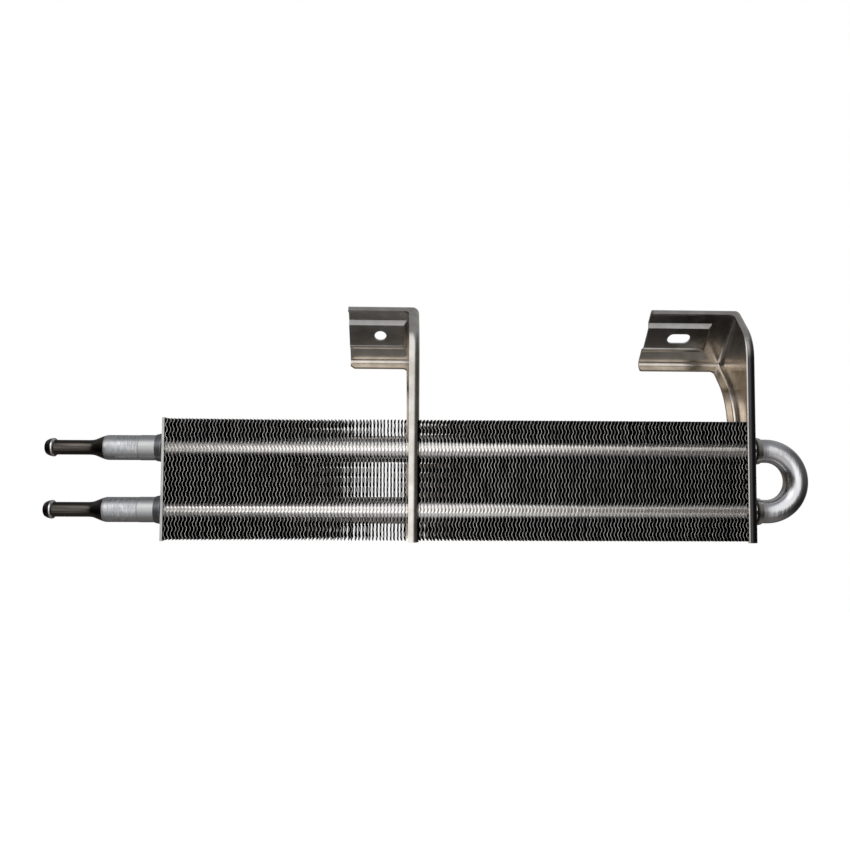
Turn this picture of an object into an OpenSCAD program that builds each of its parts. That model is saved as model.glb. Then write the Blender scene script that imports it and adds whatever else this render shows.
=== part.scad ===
// Power steering cooler: a hairpin tube with two hose nipples, carrying a bank of
// zigzag plate fins between a flat end plate and two pressed brackets with inclined feet.
// X runs along the tubes, Y away from the viewer, Z up. The origin is the centre of the
// round hole in the left foot, on the rear face of its raised panel.

/* [Hairpin tube] */
// Outside diameter of the tube in the U-bend
tube_d = 15.9; // [12:0.1:20]
// Outside diameter of the legs, after they are expanded into the fins
leg_d = 16.9; // [13:0.1:21]
// Wall of the tube
tube_wall = 0.85; // [0.5:0.05:1.5]
// Distance between the centres of the two legs
leg_spacing = 41; // [34:0.5:60]
// Leg that stands out past the end plate
stub_len = 19.5; // [12:0.5:40]
// Straight tube between the end bracket and the U-bend
bend_lead = 11.2; // [9:0.1:30]

/* [Hose nipples] */
// Outside diameter of the sleeve next to the tube
sleeve_d = 16.6; // [13:0.1:22]
// Length of the sleeve
sleeve_len = 19.5; // [8:0.5:40]
// Length of the flare from the sleeve down to the shank
flare_len = 8.6; // [4:0.1:20]
// Outside diameter of the shank under the hose
shank_d = 9.8; // [7:0.1:12]
// Length of the shank
shank_len = 23.8; // [12:0.1:50]
// Largest diameter of the hose bead
bead_d = 12.4; // [10:0.1:15]
// Length of the bead and nose
nose_len = 8.8; // [7:0.1:14]
// Diameter of the nose where its rim is rounded
nose_d = 9.2; // [7:0.1:12]
// Bore of the nipple
nipple_bore_d = 6.6; // [4:0.1:7]
// Length of the spigot inside the tube
spigot_len = 12; // [5:0.5:18]

/* [Fins] */
// Distance from one fin to the next
fin_pitch = 2.33; // [1.8:0.01:4]
// Fin groups left of the middle bracket
left_groups = 17; // [4:1:20]
// Fin groups between the two brackets
right_groups = 24; // [4:1:30]
// Fins in one group
group_fins = 4; // [2:1:6]
// Height of a fin
fin_h = 79.5; // [70:0.5:110]
// Depth of a fin from front to back
fin_depth = 25.4; // [22:0.1:40]
// Thickness of the fin sheet
fin_sheet = 0.35; // [0.2:0.01:0.6]
// Half waves of the zigzag over the height, from crest to crest on one side
half_waves = 24; // [8:2:24]
// Height of the edge past the last crest, as a share of one half wave
edge_share = 0.345; // [0.1:0.005:0.45]
// Depth of the zigzag from crest to crest
wave_rise = 1.4; // [0.6:0.1:1.6]

/* [End plate and collars] */
// Thickness of the end plate
plate_sheet = 1.6; // [1:0.1:3]
// How far the end plate stands past the fins all round
plate_margin = 0.4; // [0:0.1:3]
// Height of a drawn collar from its sheet
collar_h = 6.2; // [3:0.1:7]
// Thickness of a collar at its lip
collar_lip = 0.4; // [0.3:0.05:1]
// Thickness of a collar at its root
collar_root = 1.3; // [0.6:0.1:2.5]
// Fillet between a collar and its sheet
collar_fillet = 2.2; // [0.5:0.1:2.6]
// Thickness at the root of the middle bracket's collars, which stand inside its channel
inside_root = 0.9; // [0.5:0.1:1]
// Fillet of the middle bracket's collars
inside_fillet = 0.4; // [0.2:0.1:0.5]

/* [Brackets] */
// Thickness of the bracket sheet
sheet = 1.5; // [1:0.1:2.2]
// Outside radius of the bends
bend_r = 4.5; // [3.5:0.1:5.5]
// Width of the front lip over the core
front_lip = 7; // [6:0.1:12]
// Width of the back lip over the core
back_lip = 8.2; // [6:0.1:14]
// Height of the lips along the foot
foot_lip = 7.7; // [6.5:0.1:12]
// How far the brackets hang below the fins
bracket_drop = 0.9; // [0:0.1:5]
// Gap between the front lip and the fins
front_gap = 0.3; // [0.1:0.1:2]
// Gap between the fins and the back lip
back_gap = 1.8; // [0.3:0.1:5]
// Height above the middle of the core where the front starts to lean back
knee_z = 83.5; // [70:0.1:110]
// Lean of the arm above the knee, back from vertical
arm_angle = 45; // [35:1:55]
// Straight length of the arm's front, from the knee's bend to the foot's rear face
arm_len = 22.6; // [12:0.1:45]
// Outside width of the foot, across both its lips
foot_w = 50.6; // [44:0.1:60]
// Radius of the front knee, on its outer face
front_knee_r = 30; // [20:1:45]
// Radius of the back knee, on its outer face
back_knee_r = 50; // [20:1:55]
// Radius in the corner between two lips
lip_corner_r = 3; // [1:0.5:6]

/* [Feet] */
// Length of the left foot from the outer face of its web
left_foot_len = 48.7; // [40:0.1:80]
// Length of the right foot from the outer face of its web
right_foot_len = 62.5; // [50:0.1:90]
// Bolt hole and slot width
hole_d = 8.4; // [5:0.1:11]
// Distance of the round hole from the outer face of its web
hole_from_web = 26.9; // [22:0.1:34]
// Distance of the slot's centre from the outer face of its web
slot_from_web = 39; // [34:0.1:46]
// Length of the slot, end to end
slot_len = 16.4; // [12:0.1:20]
// Distance of the hole and the slot from the foot's upper edge
hole_drop = 23.8; // [20:0.1:30]
// Height of the raised panel
panel_rise = 2.7; // [1.5:0.1:4]
// Width of the sloping sides of the panel
panel_slope = 2.6; // [1.5:0.1:4]
// Distance of the panel from the foot's upper edge
panel_drop = 12; // [7:0.1:16]
// Width of the panel, slopes included
panel_w = 24.4; // [18:0.1:32]
// Distance between the left foot's panel and the outer face of its web
left_panel_gap = 8; // [6:0.1:16]
// Distance between the right foot's panel and the outer face of its web
right_panel_gap = 17; // [6:0.1:24]
// Corner cut off the left foot's lower lip
left_chamfer = 3; // [0.5:0.1:3]
// Corner cut off the right foot's lower lip
right_chamfer = 1; // [0.5:0.1:3]

/* [Hidden] */
$fn = 72;
// Gap between parts that are pressed or expanded together
seat_gap = 0.03;
// Overlap of a cutting shape past the face that it cuts
past = 1;
// A knee is made thinner by this on each side, and the straight sheet on both sides of it laps
// over it by that much, so that no faces nearly touch.
knee_inset = 0.02;
lap = 0.3;

leg_r = leg_d / 2;
leg_bore_r = leg_r - tube_wall;
leg_z = leg_spacing / 2;
group_len = group_fins * fin_pitch;
half_wave = fin_h / (half_waves + 2 * edge_share);
fin_front = sheet + front_gap;
axis_y = fin_front + fin_depth / 2;
back_face = fin_front + fin_depth + back_gap + sheet;
bottom_z = -fin_h / 2 - bracket_drop;

// The middle bracket's web has its right face at x = 0, and its collars point left.
left_bank_x = -sheet - collar_h - left_groups * group_len;
plate_x = left_bank_x - plate_sheet;
end_web_x = right_groups * group_len + sheet;
stub_end_x = plate_x - stub_len;
bend_x = end_web_x + bend_lead;

// The arm has its own axes, with their origin at the centre of the front knee's bend:
// y runs down the foot, z along the arm to the foot's rear face.
arm_top = -front_knee_r;
arm_bottom = arm_top + foot_w;
foot_face = arm_len;
hole_y = arm_top + hole_drop;
panel_y = arm_top + panel_drop;
panel_face = foot_face - panel_rise;

// Centre of the back knee's bend, in the arm's axes and in the core's
back_centre_y = arm_bottom + back_knee_r;
back_centre_z = (back_face + back_knee_r - front_knee_r - back_centre_y * cos(arm_angle)) / sin(arm_angle);
back_knee_z = knee_z - back_centre_y * sin(arm_angle) + back_centre_z * cos(arm_angle);

// The round hole's centre, moved to the origin of the whole part
origin_x = -hole_from_web;
origin_y = front_knee_r + hole_y * cos(arm_angle) + panel_face * sin(arm_angle);
origin_z = knee_z - hole_y * sin(arm_angle) + panel_face * cos(arm_angle);

LEFT_FINS = [for (i = [1:left_groups]) str("left_fins_", i)];
RIGHT_FINS = [for (i = [1:right_groups]) str("right_fins_", i)];

module in_place() {
    translate([-origin_x, -origin_y, -origin_z]) children();
}

// Puts its children in the arm's axes.
module on_arm() {
    translate([0, front_knee_r, knee_z]) rotate([-arm_angle, 0, 0]) children();
}

// Runs its children along X at both legs.
module at_legs() {
    for (side = [-1, 1])
        translate([0, axis_y, side * leg_z]) rotate([0, 90, 0]) children();
}

// One solid hairpin, as thick as the leg and bend radii given: used for the tube and for its bore.
module hairpin(leg_radius, bend_radius, start_x) {
    taper = 2;
    at_legs() {
        translate([0, 0, start_x]) cylinder(r = leg_radius, h = end_web_x - start_x);
        translate([0, 0, end_web_x]) cylinder(r1 = leg_radius, r2 = bend_radius, h = taper);
        translate([0, 0, end_web_x + taper]) cylinder(r = bend_radius, h = bend_lead - taper);
    }
    translate([bend_x, axis_y, 0]) rotate([90, 0, 0])
        rotate([0, 0, -90]) rotate_extrude(angle = 180) translate([leg_z, 0]) circle(r = bend_radius);
}

module hairpin_tube() {
    color("silver") in_place() difference() {
        hairpin(leg_r, tube_d / 2, stub_end_x);
        hairpin(leg_bore_r, tube_d / 2 - tube_wall, stub_end_x - past);
    }
}

// A turned nipple: nose with hose bead, shank, flare, sleeve, and the spigot in the tube.
module nipple() {
    shank_r = shank_d / 2;
    bead_r = bead_d / 2;
    sleeve_r = sleeve_d / 2;
    spigot_r = leg_bore_r - seat_gap;
    // stations along the nipple, from its tip
    crest_x = 0.7 * nose_len;
    flare_x = nose_len + shank_len;
    sleeve_x = flare_x + flare_len;
    total = sleeve_x + sleeve_len;
    // rounded rim of the nose, rounding of the bead, and curve at both ends of the flare
    rim = 1.2;
    bead_round = 0.6;
    curve = 0.4;
    translate([stub_end_x - total, 0, 0]) rotate([0, 90, 0]) rotate_extrude() polygon([
        [nipple_bore_d / 2, 0],
        [nose_d / 2 - rim, 0],
        [nose_d / 2 - rim / 3, rim / 3],
        [nose_d / 2, rim],
        [bead_r - bead_round / 2, crest_x - bead_round],
        [bead_r, crest_x],
        [bead_r, crest_x + bead_round],
        [bead_r - bead_round, nose_len - bead_round],
        [shank_r, nose_len],
        [shank_r, flare_x],
        [shank_r + curve, flare_x + 4 * curve],
        [sleeve_r - 2 * curve, sleeve_x - 4 * curve],
        [sleeve_r - curve / 2, sleeve_x - curve],
        [sleeve_r, sleeve_x + curve],
        [sleeve_r, total - seat_gap],
        [spigot_r, total - seat_gap],
        [spigot_r, total + spigot_len],
        [nipple_bore_d / 2, total + spigot_len]
    ]);
}

module inlet_nipple() {
    color("dimgray") in_place() translate([0, axis_y, leg_z]) nipple();
}

module outlet_nipple() {
    color("dimgray") in_place() translate([0, axis_y, -leg_z]) nipple();
}

// Drawn collar for one leg, standing up from z = 0: its root is as wide as given, with a fillet.
module collar(root_w, fillet) {
    inner = leg_r + seat_gap;
    root = inner + root_w;
    rotate_extrude() difference() {
        union() {
            polygon([
                [inner, -sheet / 2],
                [root + fillet, -sheet / 2],
                [root + fillet, 0],
                [root, fillet],
                [inner + collar_lip, collar_h],
                [inner, collar_h]
            ]);
            translate([inner, 0]) square([root_w + fillet, fillet]);
        }
        translate([root + fillet, fillet]) circle(r = fillet);
        translate([root, fillet]) polygon([
            [0, 0],
            [2 * fillet, 0],
            [2 * fillet, collar_h],
            [collar_lip - root_w, collar_h - fillet]
        ]);
    }
}

module leg_holes(low_x, high_x, gap) {
    at_legs() translate([0, 0, low_x]) cylinder(r = leg_r + gap, h = high_x - low_x);
}

module end_plate() {
    color("gainsboro") in_place() difference() {
        union() {
            translate([plate_x, fin_front - plate_margin, -fin_h / 2 - plate_margin])
                cube([plate_sheet, fin_depth + 2 * plate_margin, fin_h + 2 * plate_margin]);
            at_legs() translate([0, 0, plate_x]) mirror([0, 0, 1]) collar(collar_root, collar_fillet);
        }
        leg_holes(plate_x - collar_h - past, plate_x + plate_sheet + past, seat_gap);
    }
}

// Section of a bend and its lip: the web's face is x = 0 and the lip's outer face is y = 0.
// An inset makes it thinner by that much on every side, so that it ends inside the next section.
module lip_section(lip, inset) {
    union() {
        difference() {
            intersection() {
                translate([-bend_r, bend_r]) circle(r = bend_r - inset);
                translate([-bend_r, 0]) square(bend_r);
            }
            translate([-bend_r, bend_r]) circle(r = bend_r - sheet + inset);
        }
        translate([inset - lip, inset]) square([lip - inset - bend_r, sheet - 2 * inset]);
    }
}

// One flat plate of the web, with its outline seen along X as (y, z).
module web_plate(inset) {
    translate([inset - sheet, 0, 0]) rotate([90, 0, 90]) linear_extrude(sheet - 2 * inset) children();
}

module core_web() {
    web_plate(0) polygon([
        [bend_r, bottom_z],
        [bend_r, knee_z + lap],
        [back_face - bend_r, back_knee_z + lap],
        [back_face - bend_r, bottom_z]
    ]);
}

module knee_web() {
    front_centre = [front_knee_r, knee_z];
    back_centre = [back_face + back_knee_r, back_knee_z];
    toward_front = [-cos(arm_angle), sin(arm_angle)];
    past_knee = lap / 2 * [sin(arm_angle), cos(arm_angle)];
    front_end = front_centre + (front_knee_r - bend_r) * toward_front + past_knee;
    back_end = back_centre + (back_knee_r + bend_r) * toward_front + past_knee;
    knee_corner = [bend_r, knee_z + (front_knee_r - bend_r) * tan(arm_angle / 2)];
    web_plate(knee_inset) difference() {
        polygon([
            [bend_r, knee_z],
            knee_corner,
            front_end,
            back_end,
            [back_face - bend_r, back_knee_z]
        ]);
        difference() {
            polygon([[bend_r, knee_z], knee_corner, front_end]);
            translate(front_centre) circle(r = front_knee_r - bend_r);
        }
        translate(back_centre) circle(r = back_knee_r + bend_r);
    }
}

module arm_web() {
    on_arm() web_plate(0) polygon([
        [arm_top + bend_r, -lap],
        [arm_top + bend_r, foot_face - bend_r],
        [arm_bottom - bend_r, foot_face - bend_r],
        [arm_bottom - bend_r, back_centre_z - lap / 2]
    ]);
}

// Lip with its bend, round a knee of the radius given: turn is 1 where it bends away from its
// outer face and -1 where it bends toward it.
module knee_strip(lip, knee_r, turn) {
    rotate([90, 0, -90]) rotate_extrude(angle = arm_angle)
        translate([knee_r, 0]) mirror([0, turn > 0 ? 1 : 0]) rotate(turn * 90) lip_section(lip, knee_inset);
}

module front_strip() {
    translate([0, 0, bottom_z]) linear_extrude(knee_z - bottom_z + lap) lip_section(front_lip, 0);
    translate([0, front_knee_r, knee_z]) knee_strip(front_lip, front_knee_r, 1);
    on_arm() translate([0, arm_top, -lap]) linear_extrude(foot_face - bend_r + lap) lip_section(front_lip, 0);
}

module back_strip() {
    translate([0, back_face, bottom_z]) mirror([0, 1, 0])
        linear_extrude(back_knee_z - bottom_z + lap) lip_section(back_lip, 0);
    translate([0, back_face + back_knee_r, back_knee_z]) knee_strip(back_lip, back_knee_r, -1);
    on_arm() translate([0, arm_bottom, foot_face - bend_r]) rotate([180, 0, 0])
        linear_extrude(foot_face - bend_r - back_centre_z + lap) lip_section(back_lip, 0);
}

// Rounded corner where web, foot and one lip meet, and the lip's own inside corner.
module pan_corner(lip) {
    translate([-bend_r, bend_r, -bend_r]) mirror([0, 1, 0]) rotate_extrude(angle = 90)
        intersection() {
            difference() {
                circle(r = bend_r);
                circle(r = bend_r - sheet);
            }
            square(bend_r);
        }
    translate([-lip - lip_corner_r, 0, -foot_lip - lip_corner_r]) rotate([-90, 0, 0])
        mirror([0, 1, 0]) linear_extrude(sheet) difference() {
            square(lip_corner_r + (lip - bend_r) / 2);
            circle(r = lip_corner_r);
            translate([-past, -past]) square([lip_corner_r + past, past]);
        }
}

// Raised panel of the foot, as a block from level 0 up to its height, toward -z.
module panel_block(foot_len, gap, inset, base) {
    width = panel_w - 2 * inset;
    slope_x = -gap - inset;
    translate([0, panel_y + inset, base]) intersection() {
        translate([-foot_len - past * 2, 0, 0]) rotate([90, 0, 90])
            linear_extrude(foot_len + past * 2) polygon([
                [0, 0],
                [panel_slope, -panel_rise],
                [width - panel_slope, -panel_rise],
                [width, 0]
            ]);
        translate([0, width, 0]) rotate([90, 0, 0]) linear_extrude(width) polygon([
            [-foot_len - (inset > 0 ? past : 0), 0],
            [-foot_len - (inset > 0 ? past : 0), -panel_rise],
            [slope_x - panel_slope, -panel_rise],
            [slope_x, 0]
        ]);
    }
}

// Foot plate with its panel, in the arm's axes.
module foot_plate(foot_len, gap) {
    inset = sheet * tan(atan2(panel_rise, panel_slope) / 2);
    difference() {
        union() {
            translate([-foot_len, arm_top + bend_r, foot_face - sheet])
                cube([foot_len - bend_r, foot_w - 2 * bend_r, sheet]);
            panel_block(foot_len, gap, 0, foot_face - sheet);
        }
        panel_block(foot_len, gap, inset, foot_face);
    }
}

// Lips along both edges of the foot, the lower one with a corner cut off at its free end.
module foot_lips(foot_len, chamfer) {
    translate([-bend_r, arm_top, foot_face]) rotate([0, -90, 0])
        linear_extrude(foot_len - bend_r) lip_section(foot_lip, 0);
    difference() {
        translate([-bend_r, arm_bottom, foot_face]) mirror([0, 1, 0]) rotate([0, -90, 0])
            linear_extrude(foot_len - bend_r) lip_section(foot_lip, 0);
        translate([-foot_len, arm_bottom + past, foot_face - foot_lip]) rotate([90, 0, 0])
            linear_extrude(sheet + 2 * past)
                polygon([[-past, -past], [chamfer, -past], [chamfer, 0], [0, chamfer], [-past, chamfer]]);
    }
}

// Quarter round bend between web and foot, in the arm's axes.
module heel() {
    translate([-bend_r, arm_top + bend_r, foot_face - bend_r]) rotate([-90, 0, 0])
        linear_extrude(foot_w - 2 * bend_r) intersection() {
            difference() {
                circle(r = bend_r);
                circle(r = bend_r - sheet);
            }
            translate([0, -bend_r]) square(bend_r);
        }
}

// Flat web with its two drawn collars, on the side given: 1 to the right, -1 to the left.
module web(collar_side) {
    difference() {
        union() {
            core_web();
            at_legs() {
                if (collar_side > 0) collar(collar_root, collar_fillet);
                else translate([0, 0, -sheet]) mirror([0, 0, 1]) collar(inside_root, inside_fillet);
            }
        }
        leg_holes(-sheet - collar_h - past, collar_h + past, seat_gap);
    }
}

// One pressed bracket with its web's outer face at x = 0.
module bracket(foot_len, gap, chamfer, collar_side) {
    web(collar_side);
    knee_web();
    arm_web();
    front_strip();
    back_strip();
    on_arm() {
        foot_plate(foot_len, gap);
        foot_lips(foot_len, chamfer);
        heel();
        translate([0, arm_top, foot_face]) pan_corner(front_lip);
        translate([0, arm_bottom, foot_face]) mirror([0, 1, 0]) pan_corner(back_lip);
    }
}

// Hole straight through the foot's panel, lengthened along X by the stretch given.
module foot_hole(from_web, stretch) {
    on_arm() translate([-from_web, hole_y, panel_face - sheet - past]) {
        for (side = [-1, 1])
            translate([side * stretch / 2, 0, 0]) cylinder(d = hole_d, h = sheet + 2 * past);
        if (stretch > 0)
            translate([-stretch / 2, -hole_d / 2, 0]) cube([stretch, hole_d, sheet + 2 * past]);
    }
}

module middle_bracket() {
    color("lightgray") in_place() difference() {
        bracket(left_foot_len, left_panel_gap, left_chamfer, -1);
        foot_hole(hole_from_web, 0);
    }
}

module end_bracket() {
    color("lightgray") in_place() translate([end_web_x, 0, 0]) difference() {
        bracket(right_foot_len, right_panel_gap, right_chamfer, 1);
        foot_hole(slot_from_web, slot_len - hole_d);
    }
}

// One side of a zigzag fin seen from the front, from its lower edge to its upper one:
// both edges are cut a little past the last crest, so the line has turned back there.
function zigzag(side) = let (edge_x = wave_rise * (0.5 - edge_share) + side * fin_half)
    concat([[edge_x, -fin_h / 2]],
        [for (i = [0:half_waves])
            [(i % 2 == 0 ? 1 : -1) * wave_rise / 2 + side * fin_half, (i - half_waves / 2) * half_wave]],
        [[edge_x, fin_h / 2]]);
fin_half = fin_sheet / 2 / cos(atan2(wave_rise, half_wave));
function reversed(list) = [for (i = [len(list) - 1:-1:0]) list[i]];

// A group of fins on their touching collars, which fill the pitch.
module fin_group(start_x) {
    collar_r = leg_r + seat_gap + fin_sheet;
    difference() {
        union() {
            for (i = [0:group_fins - 1])
                translate([start_x + (i + 0.5) * fin_pitch, fin_front + fin_depth, 0]) rotate([90, 0, 0])
                    linear_extrude(fin_depth) polygon(concat(zigzag(-1), reversed(zigzag(1))));
            at_legs() translate([0, 0, start_x]) cylinder(r = collar_r, h = group_len);
        }
        leg_holes(start_x - past, start_x + group_len + past, seat_gap);
    }
}

module left_fins(index) {
    color("slategray") in_place() fin_group(left_bank_x + (index - 1) * group_len);
}

module right_fins(index) {
    color("slategray") in_place() fin_group((index - 1) * group_len);
}

hairpin_tube();
inlet_nipple();
outlet_nipple();
end_plate();
middle_bracket();
end_bracket();
for (i = [1:left_groups])
    left_fins(i);
for (i = [1:right_groups])
    right_fins(i);
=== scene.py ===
import bpy
import math
import random
from mathutils import Matrix, Vector


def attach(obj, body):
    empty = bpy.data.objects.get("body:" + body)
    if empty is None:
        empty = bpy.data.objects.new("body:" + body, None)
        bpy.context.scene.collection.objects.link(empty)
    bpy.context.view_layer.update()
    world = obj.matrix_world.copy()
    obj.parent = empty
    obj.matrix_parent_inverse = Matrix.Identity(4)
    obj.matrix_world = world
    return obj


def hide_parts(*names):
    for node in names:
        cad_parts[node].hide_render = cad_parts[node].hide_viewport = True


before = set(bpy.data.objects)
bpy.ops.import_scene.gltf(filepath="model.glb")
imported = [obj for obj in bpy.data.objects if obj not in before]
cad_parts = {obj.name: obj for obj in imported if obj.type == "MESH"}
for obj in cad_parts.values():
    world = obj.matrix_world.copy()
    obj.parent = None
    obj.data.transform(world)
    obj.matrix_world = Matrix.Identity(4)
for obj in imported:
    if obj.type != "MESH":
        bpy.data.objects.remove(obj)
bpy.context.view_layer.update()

# The view: a camera half a metre in front of the cooler, level with the middle of its fins
# and turned a little to the right and up.
MM = 0.001
CORE_X, CORE_Y, CORE_Z = 26.9, -39.687, -101.955
YAW, PITCH, ROLL = 0.0322, 0.054, 0.005
EYE_AT = (-13.5, -532.5, 7.3)
SENSOR_WIDTH = 36
FOCAL_SHARE = 813 / 850


def core(x, y, z):
    """A place given in mm from the middle bracket's web, the brackets' front and the core's middle."""
    return Vector(((x + CORE_X) * MM, (y + CORE_Y) * MM, (z + CORE_Z) * MM))


ahead = Vector((math.sin(YAW) * math.cos(PITCH), math.cos(YAW) * math.cos(PITCH), math.sin(PITCH)))
level = Vector((math.cos(YAW), -math.sin(YAW), 0))
upright = level.cross(ahead)
across = math.cos(ROLL) * level + math.sin(ROLL) * upright
upward = -math.sin(ROLL) * level + math.cos(ROLL) * upright
eye = bpy.data.cameras.new("photo_camera")
eye.sensor_width = SENSOR_WIDTH
eye.lens = FOCAL_SHARE * SENSOR_WIDTH
camera = bpy.data.objects.new("photo_camera", eye)
turn = Matrix((across, upward, -ahead)).transposed().to_4x4()
camera.matrix_world = Matrix.Translation(core(*EYE_AT)) @ turn
bpy.context.scene.collection.objects.link(camera)
bpy.context.scene.camera = camera

# The hairpin tube: one aluminium tube of 5/8 inch, bent back on itself over a mandrel.
# Its legs are 16.9 mm thick where they were expanded into the fins, and the bend is polished.
LEG_Y, LEG_Z = 14.5, 20.5
STUB_END, END_WEB, BEND_X = -184.4, 225.18, 236.38
EXPANDED_TO, DRAWN_FROM = END_WEB + 6.3, END_WEB + 8
LEG_R, BEND_R, WALL = 8.45, 7.95, 0.85
BEND_STEPS = 48
POLISHED_FROM, POLISHED_FULL = END_WEB + 5, BEND_X + 4


def colour(hex_text):
    """An sRGB colour such as "C8C9CA", turned to the linear values that a shader takes."""
    parts = [int(hex_text[i:i + 2], 16) / 255 for i in (0, 2, 4)]
    return [p / 12.92 if p <= 0.04045 else ((p + 0.055) / 1.055) ** 2.4 for p in parts] + [1]


def add(tree, kind, settings=None, **inputs):
    """Adds a node with its settings. An input, named or numbered as i0, takes a value or an output."""
    node = tree.nodes.new(kind)
    for name, value in (settings or {}).items():
        setattr(node, name, value)
    for name, value in inputs.items():
        numbered = name[0] == "i" and name[1:].isdigit()
        socket = node.inputs[int(name[1:]) if numbered else name.replace("_", " ")]
        if isinstance(value, bpy.types.NodeSocket):
            tree.links.new(value, socket)
        else:
            socket.default_value = value
    return node


def new_material(name):
    """An empty material with its shader and its Object coordinates: (material, tree, shader, place)."""
    made = bpy.data.materials.new(name)
    made.use_nodes = True
    tree = made.node_tree
    shader = tree.nodes["Principled BSDF"]
    place = tree.nodes.new("ShaderNodeTexCoord").outputs["Object"]
    return made, tree, shader, place


def cells(*sizes):
    """How many cells of a pattern fit in a metre, for each of their sizes in mm."""
    return [1 / (size * MM) for size in sizes]


def pick(obj):
    """Makes one object the only one that is selected, and the active one."""
    bpy.ops.object.select_all(action="DESELECT")
    obj.select_set(True)
    bpy.context.view_layer.objects.active = obj


def edit(obj):
    """Opens one object in edit mode with nothing selected."""
    pick(obj)
    bpy.ops.object.mode_set(mode="EDIT")
    bpy.ops.mesh.select_all(action="DESELECT")


def leave(obj, name, angle=35):
    """Back to object mode: the piece gets its name, its place goes into its mesh, and it is smooth."""
    bpy.ops.object.mode_set(mode="OBJECT")
    pick(obj)
    bpy.ops.object.transform_apply(location=True, rotation=True, scale=True)
    bpy.ops.object.shade_smooth_by_angle(angle=math.radians(angle))
    obj.name = obj.data.name = name
    return obj


def modify(obj, kind, **settings):
    """Adds a modifier with its settings and applies it. A new wall is shaded again."""
    pick(obj)
    made = obj.modifiers.new(kind, kind)
    for name, value in settings.items():
        setattr(made, name, value)
    bpy.ops.object.modifier_apply(modifier=made.name)
    if kind == "SOLIDIFY":
        bpy.ops.object.shade_smooth_by_angle(angle=math.radians(50))


def open_ring(x, radius, height, vertices=64):
    """Adds a circle round a leg's centre line and opens it in edit mode, all selected."""
    bpy.ops.object.select_all(action="DESELECT")
    bpy.ops.mesh.primitive_circle_add(
        vertices=vertices, radius=radius * MM, location=core(x, LEG_Y, height), rotation=(0, math.pi / 2, 0))
    ring = bpy.context.object
    edit(ring)
    bpy.ops.mesh.select_all(action="SELECT")
    return ring


def carry(x_now, x_next, growth, height):
    """Extrudes the selected ring along X and widens it about the leg's centre line."""
    bpy.ops.mesh.extrude_region_move(TRANSFORM_OT_translate={"value": ((x_next - x_now) * MM, 0, 0)})
    if abs(growth - 1) > 1e-9:
        bpy.ops.transform.resize(value=(1, growth, growth), center_override=core(x_next, LEG_Y, height))


def close_up(nearest):
    """Merges the doubles of the open mesh, under nearest in metres, and turns its faces outwards."""
    bpy.ops.mesh.select_all(action="SELECT")
    bpy.ops.mesh.remove_doubles(threshold=nearest)
    bpy.ops.mesh.normals_make_consistent(inside=False)


tube = open_ring(STUB_END, LEG_R, LEG_Z)
carry(STUB_END, EXPANDED_TO, 1, LEG_Z)
carry(EXPANDED_TO, DRAWN_FROM, BEND_R / LEG_R, LEG_Z)
carry(DRAWN_FROM, BEND_X, 1, LEG_Z)
bpy.ops.mesh.spin(steps=BEND_STEPS, angle=math.pi, center=core(BEND_X, LEG_Y, 0), axis=(0, -1, 0))
carry(BEND_X, DRAWN_FROM, 1, -LEG_Z)
carry(DRAWN_FROM, EXPANDED_TO, LEG_R / BEND_R, -LEG_Z)
carry(EXPANDED_TO, STUB_END, 1, -LEG_Z)
close_up(0.00001)
leave(tube, "tube")
modify(tube, "SOLIDIFY", thickness=WALL * MM, offset=-1)

# Drawn aluminium: bright and smooth, with faint drawing lines along the tube, 3 mm apart and
# 40 mm long, which are drawn coarser than the real ones so that they show. Where the bend was
# stretched and pressed it is smoother, and its lighter colour there is painted sheen. Fine
# ripples across it break up its reflections.
drawn, tree, shader, place = new_material("drawn_aluminium")
shader.inputs["Metallic"].default_value = 1
spot = add(tree, "ShaderNodeSeparateXYZ", Vector=place)
fine = add(tree, "ShaderNodeMapping", i0=place, Scale=cells(40, 3.333, 3.333))
lines = add(tree, "ShaderNodeTexNoise", Vector=fine.outputs[0], Scale=1.0, Detail=2)
bent = add(tree, "ShaderNodeMapRange", Value=spot.outputs["X"],
           From_Min=core(POLISHED_FROM, 0, 0).x, From_Max=core(POLISHED_FULL, 0, 0).x)
# Painted sheen: the bend's base colour is mixed toward a lighter grey.
painted_sheen = add(tree, "ShaderNodeMix", {"data_type": "RGBA"},
            i0=bent.outputs[0], i6=colour("C2C3C4"), i7=colour("DADBDE"))
tree.links.new(painted_sheen.outputs[2], shader.inputs["Base Color"])
drawn_rough = add(tree, "ShaderNodeMapRange", Value=lines.outputs[0], To_Min=0.34, To_Max=0.5)
rough = add(tree, "ShaderNodeMath", {"operation": "MULTIPLY_ADD"},
            i0=bent.outputs[0], i1=-0.2, i2=drawn_rough.outputs[0])
tree.links.new(rough.outputs[0], shader.inputs["Roughness"])
coarse = add(tree, "ShaderNodeMapping", i0=place, Scale=cells(2.381, 16.667, 11.111))
ripples = add(tree, "ShaderNodeTexNoise", Vector=coarse.outputs[0], Scale=1.0, Detail=3)
waves = add(tree, "ShaderNodeMath", {"operation": "MULTIPLY"}, i0=bent.outputs[0], i1=ripples.outputs[0])
bump = add(tree, "ShaderNodeBump", Strength=0.5, Distance=0.0003, Height=waves.outputs[0])
scratch = add(tree, "ShaderNodeBump",
              Strength=0.05, Distance=0.0002, Height=lines.outputs[0], Normal=bump.outputs[0])
tree.links.new(scratch.outputs[0], shader.inputs["Normal"])
tube.data.materials.append(drawn)
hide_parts("hairpin_tube")
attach(tube, "root")

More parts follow.
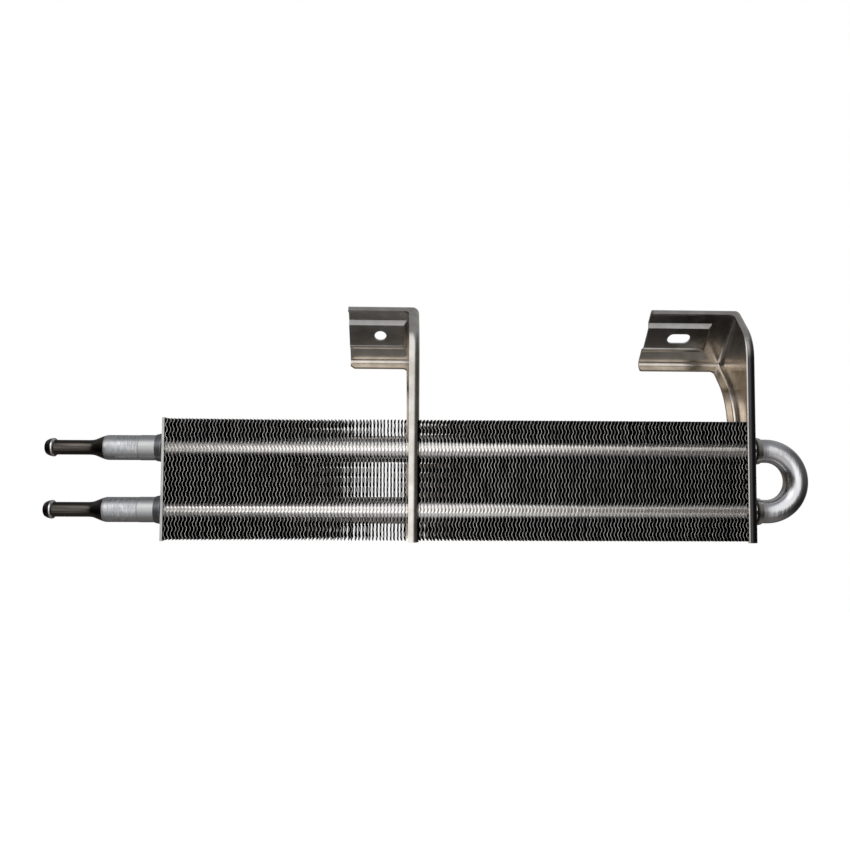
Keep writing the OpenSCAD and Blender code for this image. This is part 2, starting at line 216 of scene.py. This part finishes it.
# The hose nipples: turned steel, pushed into the tube and brazed. The sleeve is blasted and
# zinc plated; the shank and the bead, which go into the hose, are blackened and polished.
NIPPLE_REACH = 62.4
TIP = STUB_END - NIPPLE_REACH
SLEEVE_R, SHANK_R, BEAD_R, BORE_R, SPIGOT_R = 8.3, 4.9, 6.2, 3.3, 7.57
BEAD_END, SHANK_END, SLEEVE_FROM, SLEEVE_END, SPIGOT_END = 6.6, 28.4, 41.3, 62.37, 74.4
# The first two numbers below place the painted highlight ring round the bead.
GLINT_AT, GLINT_HALF, PLATED_FROM = 5.3, 0.8, 39.6

# The profile from the mouth to the end of the spigot: (distance from the mouth, radius).
nose = [(0, BORE_R), (0, 3.6), (0.12, 4.0), (0.45, 4.5), (1.0, 4.9), (1.8, 5.35), (2.8, 5.75),
        (3.6, 5.95), (3.9, 5.98), (4.1, 6.08)]
bead = [(4.8, BEAD_R), (GLINT_AT, BEAD_R - 0.04), (5.7, BEAD_R - 0.3), (6.0, BEAD_R - 0.75)]
shank = [(6.2, SHANK_R + 0.2), (BEAD_END, SHANK_R), (SHANK_END, SHANK_R)]
flare = [(30.4, SHANK_R + 0.1), (32.1, SHANK_R + 0.4), (33.9, SHANK_R + 1.05), (35.9, SHANK_R + 1.9),
         (37.9, SLEEVE_R - 0.72), (39.3, SLEEVE_R - 0.28), (40.3, SLEEVE_R - 0.06)]
plated_sleeve = [(SLEEVE_FROM, SLEEVE_R), (61.9, SLEEVE_R), (62.15, SLEEVE_R - 0.12),
                 (SLEEVE_END, SPIGOT_R + 0.1)]
spigot = [(SLEEVE_END, SPIGOT_R), (SPIGOT_END, SPIGOT_R), (SPIGOT_END, BORE_R), (0, BORE_R)]
stations = nose + bead + shank + flare + plated_sleeve + spigot


def stops(ramp, *pairs):
    """Sets a colour ramp's stops from (place, hex colour) pairs."""
    band = ramp.color_ramp
    while len(band.elements) < len(pairs):
        band.elements.new(0.5)
    for element, (at, hex_text) in zip(band.elements, pairs):
        element.position = at
        element.color = colour(hex_text)


# Blackened and polished steel: brown-black and glossy, with polishing streaks along it that are
# a little under 2 mm wide. A bright ring round the bead is a painted highlight.
blackened, tree, shader, place = new_material("blackened_polished_steel")
streaks = add(tree, "ShaderNodeMapping", i0=place, Scale=cells(25, 2, 2))
cloud = add(tree, "ShaderNodeTexNoise", Vector=streaks.outputs[0], Scale=1.2, Detail=4)
tone = add(tree, "ShaderNodeValToRGB", Fac=cloud.outputs[0])
stops(tone, (0.3, "3C3936"), (0.7, "5A5550"))
along = add(tree, "ShaderNodeSeparateXYZ", Vector=place).outputs["X"]
# A painted highlight: a bright ring round the bead.
glint_band = add(tree, "ShaderNodeMath", {"operation": "COMPARE"},
           i0=along, i1=core(TIP + GLINT_AT, 0, 0).x, i2=GLINT_HALF * MM)
painted_glint = add(tree, "ShaderNodeMix", {"data_type": "RGBA"},
                  i0=glint_band.outputs[0], i6=tone.outputs[0], i7=colour("D9DBDC"))
tree.links.new(painted_glint.outputs[2], shader.inputs["Base Color"])
shader.inputs["Metallic"].default_value = 1
rough = add(tree, "ShaderNodeMapRange", Value=cloud.outputs[0], To_Min=0.1, To_Max=0.24)
tree.links.new(rough.outputs[0], shader.inputs["Roughness"])

# Blasted, zinc plated steel: pale grey and frosted by the grit, 0.4 mm wide, with turning marks
# 0.7 mm apart round it that still show in its tone.
frosted, tree, shader, place = new_material("zinc_plated_blasted_steel")
grit = add(tree, "ShaderNodeTexNoise", Vector=place, Scale=cells(0.3846)[0], Detail=4)
turned = add(tree, "ShaderNodeMapping", i0=place, Scale=cells(0.7143, 4.5455, 4.5455))
patch = add(tree, "ShaderNodeTexNoise", Vector=turned.outputs[0], Scale=1.0, Detail=5, Roughness=0.7)
tone = add(tree, "ShaderNodeValToRGB", Fac=patch.outputs[0])
stops(tone, (0.3, "96989B"), (0.5, "BCBEC1"), (0.68, "DCDDDE"))
tree.links.new(tone.outputs[0], shader.inputs["Base Color"])
shader.inputs["Metallic"].default_value = 0.9
shader.inputs["Roughness"].default_value = 0.38
bump = add(tree, "ShaderNodeBump", Strength=0.35, Distance=0.0001, Height=grit.outputs[0])
tree.links.new(bump.outputs[0], shader.inputs["Normal"])

for name, height in (("inlet_nipple", LEG_Z), ("outlet_nipple", -LEG_Z)):
    nipple = open_ring(TIP, BORE_R, height)
    for (x_now, r_now), (x_next, r_next) in zip(stations, stations[1:]):
        carry(TIP + x_now, TIP + x_next, r_next / r_now, height)
    close_up(0.000005)
    leave(nipple, name.replace("nipple", "hose_nipple"), 30)
    nipple.data.materials.append(blackened)
    nipple.data.materials.append(frosted)
    for face in nipple.data.polygons:
        face.material_index = 1 if face.center.x > core(TIP + PLATED_FROM, 0, 0).x else 0
    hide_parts(name)
    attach(nipple, "root")

# The fins: thin aluminium sheets pressed into small waves, stacked on the legs at 11 to the
# inch, each on drawn collars. Handling has leaned and bowed them a little, one by one.
FIN_PITCH, FIN_H, DEPTH, SHEET = 2.33, 79.5, 25.4, 0.23
FIN_FRONT, SWING, HALF_WAVE, CRESTS = 1.8, 0.52, 3.22, 25
SLANT, FLATTENED, EDGE_IN = 4.0, 1.35, 0.12
COLLAR_R, COLLAR_BORE, PUNCH_DEPTH = 8.83, LEG_R + 0.03, 8
HOLE_R = COLLAR_R - 0.05
BRACKET_SHEET, BRACKET_COLLAR = 1.5, 6.2
LEFT_COUNT, RIGHT_COUNT = 68, 96
LEFT_BANK = -BRACKET_SHEET - BRACKET_COLLAR - LEFT_COUNT * FIN_PITCH

outline = [(SWING - EDGE_IN, -FIN_H / 2)]
for crest in range(CRESTS):
    side = SWING if crest % 2 == 0 else -SWING
    height = (crest - (CRESTS - 1) / 2) * HALF_WAVE
    outline += [(side, height - HALF_WAVE / 4), (side, height + HALF_WAVE / 4)]
outline.append((SWING - EDGE_IN, FIN_H / 2))

# The lowest strip comes first, and its upper edge is then drawn up along the outline.
(foot_x, foot_z), (first_x, first_z) = outline[:2]
first_rise = first_z - foot_z
bpy.ops.object.select_all(action="DESELECT")
bpy.ops.mesh.primitive_grid_add(
    x_subdivisions=1, y_subdivisions=4, size=1, rotation=(0, math.pi / 2, 0),
    location=core(foot_x, FIN_FRONT + DEPTH / 2, foot_z + first_rise / 2))
fin = bpy.context.object
fin.dimensions = (first_rise * MM, DEPTH * MM, 0)
bpy.ops.object.transform_apply(location=True, rotation=True, scale=True)
edit(fin)
bpy.ops.mesh.select_mode(type="VERT")
bpy.ops.object.mode_set(mode="OBJECT")
top = max(v.co.z for v in fin.data.vertices)
for v in fin.data.vertices:
    v.select = v.co.z > top - 0.01 * MM
bpy.ops.object.mode_set(mode="EDIT")
bpy.ops.transform.translate(value=((first_x - foot_x) * MM, 0, 0))
for (x_now, z_now), (x_next, z_next) in zip(outline[1:], outline[2:]):
    step = ((x_next - x_now) * MM, 0, (z_next - z_now) * MM)
    bpy.ops.mesh.extrude_region_move(TRANSFORM_OT_translate={"value": step})
leave(fin, "fin", 60)

# The waves run a little aslant through the depth, so one sees through between two fins only
# along straight slits.
middle_x, lowest_crest = core(0, 0, 0).x, core(0, 0, -(CRESTS - 1) / 2 * HALF_WAVE).z
back = core(0, FIN_FRONT + DEPTH, 0).y
for v in fin.data.vertices:
    row = (v.co.z - lowest_crest) / (HALF_WAVE * MM)
    slant = SLANT * (1 - (back - v.co.y) / (DEPTH * MM))
    wave = FLATTENED * math.cos(math.pi * (row + slant))
    v.co.x = middle_x + SWING * MM * max(-1, min(1, wave))
modify(fin, "SOLIDIFY", thickness=SHEET * MM, offset=0)
for height in (LEG_Z, -LEG_Z):
    bpy.ops.object.select_all(action="DESELECT")
    bpy.ops.mesh.primitive_cylinder_add(
        vertices=40, radius=HOLE_R * MM, depth=PUNCH_DEPTH * MM,
        location=core(0, LEG_Y, height), rotation=(0, math.pi / 2, 0))
    punch = bpy.context.object
    modify(fin, "BOOLEAN", object=punch, operation="DIFFERENCE", solver="EXACT")
    bpy.data.objects.remove(punch)

# Rolled aluminium sheet: its faces are painted dark, as painted shade, so that the gaps between
# the fins go dark. Its cut edges are painted light, as a painted highlight, and so are the faces
# in line with the legs, as a painted band of light. Each fin is a little lighter or darker than
# the next.
BAND_LIT_WITHIN, BAND_FADES_BEYOND, CUT_EDGE = 3.6, 5.2, 0.8
rolled, tree, shader, place = new_material("rolled_aluminium_sheet")
across_bank = add(tree, "ShaderNodeMapping", i0=place, Scale=cells(2.3256, 33.333, 16.667))
sheet_tone = add(tree, "ShaderNodeTexNoise", Vector=across_bank.outputs[0], Scale=1.0, Detail=2)
# The faces' dark colours are painted shade.
faces = add(tree, "ShaderNodeValToRGB", Fac=sheet_tone.outputs[0])
stops(faces, (0.3, "28282A"), (0.5, "343437"), (0.7, "48484B"))
# The cut edges' light colours are a painted highlight.
edges = add(tree, "ShaderNodeValToRGB", Fac=sheet_tone.outputs[0])
stops(edges, (0.35, "989898"), (0.65, "E2E1DF"))
normal = add(tree, "ShaderNodeSeparateXYZ", Vector=add(tree, "ShaderNodeNewGeometry").outputs["True Normal"])
front = add(tree, "ShaderNodeMath", {"operation": "ABSOLUTE"}, i0=normal.outputs["Y"])
upper = add(tree, "ShaderNodeMath", {"operation": "ABSOLUTE"}, i0=normal.outputs["Z"])
edge_on = add(tree, "ShaderNodeMath", {"operation": "MAXIMUM"}, i0=front.outputs[0], i1=upper.outputs[0])
cut = add(tree, "ShaderNodeMath", {"operation": "GREATER_THAN"}, i0=edge_on.outputs[0], i1=CUT_EDGE)
level_of = add(tree, "ShaderNodeSeparateXYZ", Vector=place).outputs["Z"]
above = add(tree, "ShaderNodeMath", {"operation": "SUBTRACT"}, i0=level_of, i1=core(0, 0, 0).z)
rise = add(tree, "ShaderNodeMath", {"operation": "ABSOLUTE"}, i0=above.outputs[0])
off = add(tree, "ShaderNodeMath", {"operation": "SUBTRACT"}, i0=rise.outputs[0], i1=LEG_Z * MM)
from_leg = add(tree, "ShaderNodeMath", {"operation": "ABSOLUTE"}, i0=off.outputs[0])
# A painted band of light on the faces in line with the legs.
band_light = add(tree, "ShaderNodeMapRange", Value=from_leg.outputs[0],
                From_Min=BAND_FADES_BEYOND * MM, From_Max=BAND_LIT_WITHIN * MM)
painted_band = add(tree, "ShaderNodeMix", {"data_type": "RGBA"},
               i0=band_light.outputs[0], i6=faces.outputs[0], i7=colour("DCDAD8"))
sheet_colour = add(tree, "ShaderNodeMix", {"data_type": "RGBA"},
                   i0=cut.outputs[0], i6=painted_band.outputs[2], i7=edges.outputs[0])
tree.links.new(sheet_colour.outputs[2], shader.inputs["Base Color"])
shader.inputs["Metallic"].default_value = 1
shader.inputs["Roughness"].default_value = 0.38
fin.data.materials.append(rolled)

# The collars are the same sheet, drawn thin and bright round the legs.
collars, _, shader, _ = new_material("drawn_sheet_collars")
shader.inputs["Base Color"].default_value = colour("F2F0ED")
shader.inputs["Metallic"].default_value = 1
shader.inputs["Roughness"].default_value = 0.2

# Each fin is a copy of the one above, set a little off its place, leaned, bowed and turned. The
# last number of a bank is how far, in mm, its fins' back edges lie right of their front ones.
banks = (("left_fin_bank", "left_fins_", LEFT_BANK, LEFT_COUNT, -0.36),
         ("right_fin_bank", "right_fins_", 0, RIGHT_COUNT, -0.98))
SEED = 7
OFF_PLACE, LEAN, BOW, TWIST = 0.07, 0.1, 0.08, 0.12
steady = random.Random(SEED)
shape = [v.co.copy() for v in fin.data.vertices]
middle, front_edge = core(0, 0, 0).z, core(0, FIN_FRONT, 0).y
for bank, group, start, count, turned in banks:
    copies = []
    for index in range(count):
        copy = bpy.data.objects.new(bank + str(index), fin.data.copy())
        bpy.context.scene.collection.objects.link(copy)
        shift = (start + (index + 0.5) * FIN_PITCH + steady.uniform(-OFF_PLACE, OFF_PLACE)) * MM
        lean = steady.gauss(0, LEAN) * MM
        bow = steady.gauss(0, BOW) * MM
        twist = steady.gauss(turned, TWIST) * MM
        for v, rest in zip(copy.data.vertices, shape):
            up = (rest.z - middle) / (FIN_H / 2 * MM)
            deep = (rest.y - front_edge) / (DEPTH * MM)
            v.co.x = rest.x + shift + lean * up + bow * up * up + twist * deep
        copies.append(copy)
    bpy.ops.object.select_all(action="DESELECT")
    for copy in copies:
        copy.select_set(True)
    bpy.context.view_layer.objects.active = copies[0]
    bpy.ops.object.join()
    fins = bpy.context.object
    fins.name = fins.data.name = bank
    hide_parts(*[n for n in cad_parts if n.startswith(group)])
    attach(fins, "root")

    # The bank's collars touch end to end, and are one thin sleeve on each leg.
    end = start + count * FIN_PITCH
    for leg, height in (("upper", LEG_Z), ("lower", -LEG_Z)):
        sleeve = open_ring(start, COLLAR_BORE, height, 48)
        carry(start, start, COLLAR_R / COLLAR_BORE, height)
        carry(start, end, 1, height)
        carry(end, end, COLLAR_BORE / COLLAR_R, height)
        carry(end, start, 1, height)
        close_up(0.000005)
        leave(sleeve, bank + "_" + leg + "_collars")
        sleeve.data.materials.append(collars)
        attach(sleeve, "root")
bpy.data.objects.remove(fin)

# The end plate: a flat aluminium plate with two drawn collars, pressed over the legs to close
# the stack of fins at the nipples' end. It keeps its mill finish, with a rolling grain 1 mm
# wide and 11 mm long, and its collars are painted darker, as painted shade.
PLATE_FACE = -168.1
mill, tree, shader, place = new_material("mill_finish_aluminium")
long_grain = add(tree, "ShaderNodeMapping", i0=place, Scale=cells(1.1111, 1.1111, 11.111))
grain = add(tree, "ShaderNodeTexNoise", Vector=long_grain.outputs[0], Scale=1.0, Detail=3)
tone = add(tree, "ShaderNodeValToRGB", Fac=grain.outputs[0])
stops(tone, (0.3, "A8A9AA"), (0.7, "C8C8C7"))
along = add(tree, "ShaderNodeSeparateXYZ", Vector=place).outputs["X"]
# Painted shade on the plate's collars, left of its face.
drawn_out = add(tree, "ShaderNodeMath", {"operation": "LESS_THAN"},
                i0=along, i1=core(PLATE_FACE, 0, 0).x)
painted_collar_shade = add(tree, "ShaderNodeMix", {"data_type": "RGBA"},
           i0=drawn_out.outputs[0], i6=tone.outputs[0], i7=colour("84878A"))
tree.links.new(painted_collar_shade.outputs[2], shader.inputs["Base Color"])
shader.inputs["Metallic"].default_value = 1
shader.inputs["Roughness"].default_value = 0.32
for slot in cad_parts["end_plate"].material_slots:
    slot.material = mill

# The brackets: steel sheet of 1.5 mm, pressed in one piece with its lips, panel and holes,
# then bright plated. Plating and pressing leave it lightly frosted, in clouds about 9 mm wide.
# Its hollows get a warm painted shade.
WARM_BELOW, COOL_ABOVE = 82, 90
FRONT_LIP_DEPTH = 3
SLOPES_ABOVE, PANEL_RIDGE, RIDGE_WIDTH = 88, 94.3, 1.1
LEFT_PANEL_END, RIGHT_PANEL_END = -10.6, 205.6

plated, tree, shader, place = new_material("bright_plated_pressed_steel")
soft = add(tree, "ShaderNodeTexNoise", Vector=place, Scale=cells(9.0909)[0], Detail=4)
tone = add(tree, "ShaderNodeValToRGB", Fac=soft.outputs[0])
stops(tone, (0.3, "C4C0B9"), (0.7, "DEDBD6"))
spot = add(tree, "ShaderNodeSeparateXYZ", Vector=place)
behind = add(tree, "ShaderNodeMath", {"operation": "GREATER_THAN"},
             i0=spot.outputs["Y"], i1=core(0, FRONT_LIP_DEPTH, 0).y)

# Painted warm shade in the hollow under the feet: behind the front lip and inside the end bracket's web.
under = add(tree, "ShaderNodeMapRange", Value=spot.outputs["Z"],
            From_Min=core(0, 0, COOL_ABOVE).z, From_Max=core(0, 0, WARM_BELOW).z)
inside = add(tree, "ShaderNodeMath", {"operation": "LESS_THAN"},
             i0=spot.outputs["X"], i1=core(END_WEB + 0.2, 0, 0).x)
hollow = add(tree, "ShaderNodeMath", {"operation": "MULTIPLY"}, i0=under.outputs[0], i1=behind.outputs[0])
warm = add(tree, "ShaderNodeMath", {"operation": "MULTIPLY"}, i0=hollow.outputs[0], i1=inside.outputs[0])
painted_warm_shade = add(tree, "ShaderNodeMix", {"data_type": "RGBA", "blend_type": "MULTIPLY"},
           i0=warm.outputs[0], i6=tone.outputs[0], i7=colour("FFF7EF"))

# A little greyer on the panels' upper slopes: painted shade.
facing = add(tree, "ShaderNodeSeparateXYZ", Vector=add(tree, "ShaderNodeNewGeometry").outputs["True Normal"])
front_on = add(tree, "ShaderNodeMath", {"operation": "LESS_THAN"}, i0=facing.outputs["Y"], i1=-0.95)
raised = add(tree, "ShaderNodeMath", {"operation": "GREATER_THAN"},
             i0=spot.outputs["Z"], i1=core(0, 0, SLOPES_ABOVE).z)
high = add(tree, "ShaderNodeMath", {"operation": "MULTIPLY"}, i0=front_on.outputs[0], i1=raised.outputs[0])
slope = add(tree, "ShaderNodeMath", {"operation": "MULTIPLY"}, i0=high.outputs[0], i1=behind.outputs[0])
painted_slope_shade = add(tree, "ShaderNodeMix", {"data_type": "RGBA", "blend_type": "MULTIPLY"},
             i0=slope.outputs[0], i6=painted_warm_shade.outputs[2], i7=colour("BCBEC2"))
tree.links.new(painted_slope_shade.outputs[2], shader.inputs["Base Color"])
shader.inputs["Metallic"].default_value = 1
rough = add(tree, "ShaderNodeMapRange", Value=soft.outputs[0], To_Min=0.18, To_Max=0.24)
tree.links.new(rough.outputs[0], shader.inputs["Roughness"])

# A fine peel 1 mm wide all over, and a soft bead along each panel's lower ridge.
peel = add(tree, "ShaderNodeTexNoise", Vector=place, Scale=cells(1.1111)[0], Detail=3)
bump = add(tree, "ShaderNodeBump", Strength=0.02, Distance=0.0002, Height=peel.outputs[0])
ridge_off = add(tree, "ShaderNodeMath", {"operation": "SUBTRACT"},
                i0=spot.outputs["Z"], i1=core(0, 0, PANEL_RIDGE).z)
ridge_gap = add(tree, "ShaderNodeMath", {"operation": "ABSOLUTE"}, i0=ridge_off.outputs[0])
ridge = add(tree, "ShaderNodeMapRange", {"interpolation_type": "SMOOTHSTEP"},
            Value=ridge_gap.outputs[0], From_Min=0, From_Max=RIDGE_WIDTH * MM, To_Min=1, To_Max=0)
on_panel = add(tree, "ShaderNodeMath", {"operation": "LESS_THAN", "name": "panel_end"},
               i0=spot.outputs["X"], i1=core(LEFT_PANEL_END, 0, 0).x)
on_foot = add(tree, "ShaderNodeMath", {"operation": "MULTIPLY"}, i0=ridge.outputs[0], i1=behind.outputs[0])
lifted = add(tree, "ShaderNodeMath", {"operation": "MULTIPLY"}, i0=on_foot.outputs[0], i1=on_panel.outputs[0])
soft_bead = add(tree, "ShaderNodeBump", {"name": "bead"},
                Strength=1.0, Distance=0.00028, Height=lifted.outputs[0], Normal=bump.outputs[0])
tree.links.new(soft_bead.outputs[0], shader.inputs["Normal"])
shaded = plated.copy()
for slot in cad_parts["middle_bracket"].material_slots:
    slot.material = plated

# The end bracket's panel is longer, and its ridge stands out more. Its front lip is painted
# darker than the rest, as painted shade, apart from its bright cut edge, and so are its drawn
# collars next to the web.
LIP_WIDTH, LIP_DEPTH = 6.2, 2.6
LIP_DARK_BELOW, LIP_BRIGHT_ABOVE = 82, 104
COLLAR_DARK_TO, COLLAR_BRIGHT_FROM = END_WEB + 2.4, END_WEB + 3.4

shaded.name = "bright_plated_steel_dark_lip"
tree = shaded.node_tree
shader = tree.nodes["Principled BSDF"]
place = tree.nodes["Texture Coordinate"].outputs["Object"]
tree.nodes["panel_end"].inputs[1].default_value = core(RIGHT_PANEL_END, 0, 0).x
tree.nodes["bead"].inputs["Distance"].default_value = 0.0006
spot = add(tree, "ShaderNodeSeparateXYZ", Vector=place)
right = add(tree, "ShaderNodeMath", {"operation": "GREATER_THAN"},
            i0=spot.outputs["X"], i1=core(END_WEB - LIP_WIDTH, 0, 0).x)
ahead_of = add(tree, "ShaderNodeMath", {"operation": "LESS_THAN"},
               i0=spot.outputs["Y"], i1=core(0, LIP_DEPTH, 0).y)
low = add(tree, "ShaderNodeMapRange", Value=spot.outputs["Z"],
          From_Min=core(0, 0, LIP_BRIGHT_ABOVE).z, From_Max=core(0, 0, LIP_DARK_BELOW).z)
both = add(tree, "ShaderNodeMath", {"operation": "MULTIPLY"}, i0=right.outputs[0], i1=ahead_of.outputs[0])
lip_dark = add(tree, "ShaderNodeMath", {"operation": "MULTIPLY"}, i0=both.outputs[0], i1=low.outputs[0])
beyond = add(tree, "ShaderNodeMapRange", Value=spot.outputs["X"],
             From_Min=core(COLLAR_BRIGHT_FROM, 0, 0).x, From_Max=core(COLLAR_DARK_TO, 0, 0).x)
past = add(tree, "ShaderNodeMath", {"operation": "GREATER_THAN"},
           i0=spot.outputs["X"], i1=core(END_WEB + 0.05, 0, 0).x)
collar_dark = add(tree, "ShaderNodeMath", {"operation": "MULTIPLY"}, i0=past.outputs[0], i1=beyond.outputs[0])
dark = add(tree, "ShaderNodeMath", {"operation": "MAXIMUM"},
           i0=lip_dark.outputs[0], i1=collar_dark.outputs[0])
# Painted shade: the lip and the collars next to the web are mixed toward dark grey.
plain = shader.inputs["Base Color"].links[0].from_socket
painted_lip_shade = add(tree, "ShaderNodeMix", {"data_type": "RGBA"}, i0=dark.outputs[0], i6=plain, i7=colour("4A4A4E"))
tree.links.new(painted_lip_shade.outputs[2], shader.inputs["Base Color"])
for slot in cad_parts["end_bracket"].material_slots:
    slot.material = shaded

# The studio, which the bright metal mirrors: light around the camera and to its left, a grey
# ceiling, dark below, dark at both sides and dim behind. The camera itself sees plain white.
bpy.context.scene.view_settings.view_transform = "Standard"
world = bpy.data.worlds.new("studio")
bpy.context.scene.world = world
world.use_nodes = True
tree = world.node_tree
way = add(tree, "ShaderNodeTexCoord").outputs["Generated"]
parts = add(tree, "ShaderNodeSeparateXYZ", Vector=way)
rise = add(tree, "ShaderNodeMapRange", Value=parts.outputs["Z"], From_Min=-1)
room = add(tree, "ShaderNodeValToRGB", Fac=rise.outputs[0])
stops(room, (0.0, "807C78"), (0.1, "6E6A68"), (0.3, "3E3E40"), (0.46, "6E6A66"),
      (0.6, "9E9C9A"), (0.8, "9C9C9E"), (1.0, "8E8E90"))


def glow(aim, spread, edge, hex_text, strength, under):
    """Adds a soft oval light area to the room, round the direction aim: spread is its half size."""
    centre = tuple(Vector(aim).normalized())
    apart = add(tree, "ShaderNodeVectorMath", {"operation": "SUBTRACT"}, i0=way, i1=centre)
    scaled = add(tree, "ShaderNodeVectorMath", {"operation": "DIVIDE"}, i0=apart.outputs[0], i1=spread)
    reach = add(tree, "ShaderNodeVectorMath", {"operation": "LENGTH"}, i0=scaled.outputs[0])
    amount = add(tree, "ShaderNodeMapRange", {"interpolation_type": "SMOOTHSTEP"},
                 Value=reach.outputs["Value"], From_Min=edge, From_Max=1.0, To_Min=strength, To_Max=0.0)
    lit = add(tree, "ShaderNodeMix", {"data_type": "RGBA", "blend_type": "ADD", "clamp_factor": False},
              i0=amount.outputs[0], i6=under, i7=colour(hex_text))
    return lit.outputs[2]


def dim(toward, start, end, left, under):
    """Darkens the room round one direction, down to the share left."""
    centre = tuple(Vector(toward).normalized())
    facing = add(tree, "ShaderNodeVectorMath", {"operation": "DOT_PRODUCT"}, i0=way, i1=centre)
    amount = add(tree, "ShaderNodeMapRange", {"interpolation_type": "SMOOTHSTEP"},
                 Value=facing.outputs["Value"], From_Min=start, From_Max=end, To_Min=1.0, To_Max=left)
    dimmed = add(tree, "ShaderNodeVectorMath", {"operation": "SCALE"}, i0=under, Scale=amount.outputs[0])
    return dimmed.outputs[0]


light = dim((0.97, -0.1, 0.0), 0.6, 0.9, 0.3, room.outputs[0])
light = dim((-0.95, -0.3, 0.0), 0.75, 0.95, 0.3, light)
light = dim((-0.4, 0.9, 0.05), 0.7, 0.95, 0.4, light)
light = glow((-0.02, -0.95, 0.3), (0.66, 1.8, 0.7), 0.75, "FFFFFF", 0.78, light)
light = glow((-0.02, -0.9, -0.4), (0.66, 1.8, 0.55), 0.6, "FFFFFF", 0.5, light)
light = glow((-0.33, -0.8, 0.5), (0.24, 1.0, 0.2), 0.5, "FFFAF2", 0.5, light)
light = glow((-0.4, 0.9, -0.1), (0.4, 1.0, 0.5), 0.4, "FFD8A0", 0.12, light)
seen = add(tree, "ShaderNodeLightPath")
shown = add(tree, "ShaderNodeMix", {"data_type": "RGBA"},
            i0=seen.outputs["Is Camera Ray"], i6=light, i7=(1, 1, 1, 1))
tree.links.new(shown.outputs[2], tree.nodes["Background"].inputs[0])

lamp = bpy.data.lights.new("softbox", "AREA")
lamp.size = 0.8
lamp.energy = 1.2
holder = bpy.data.objects.new("softbox", lamp)
holder.location = (-0.6, -0.9, 0.7)
toward_core = Vector((0, 0, -0.1)) - Vector(holder.location)
holder.rotation_euler = toward_core.to_track_quat("-Z", "Y").to_euler()
bpy.context.scene.collection.objects.link(holder)

# The floor: plain and pale, far below the cooler, which hangs on its brackets. Only the camera
# sees it, as white as the room round it, so that the metal still mirrors the room's dark foot.
FLOOR_Z = -0.9
bpy.ops.object.select_all(action="DESELECT")
bpy.ops.mesh.primitive_plane_add(size=8, location=(0, 0, FLOOR_Z))
floor = bpy.context.object
floor.name = "floor"
pale, tree, shader, _ = new_material("pale_floor")
seen = add(tree, "ShaderNodeLightPath")
shader.inputs["Base Color"].default_value = colour("E6E6E4")
shader.inputs["Emission Color"].default_value = (1, 1, 1, 1)
tree.links.new(seen.outputs["Is Camera Ray"], shader.inputs["Emission Strength"])
floor.data.materials.append(pale)
floor.visible_glossy = floor.visible_diffuse = floor.visible_transmission = False
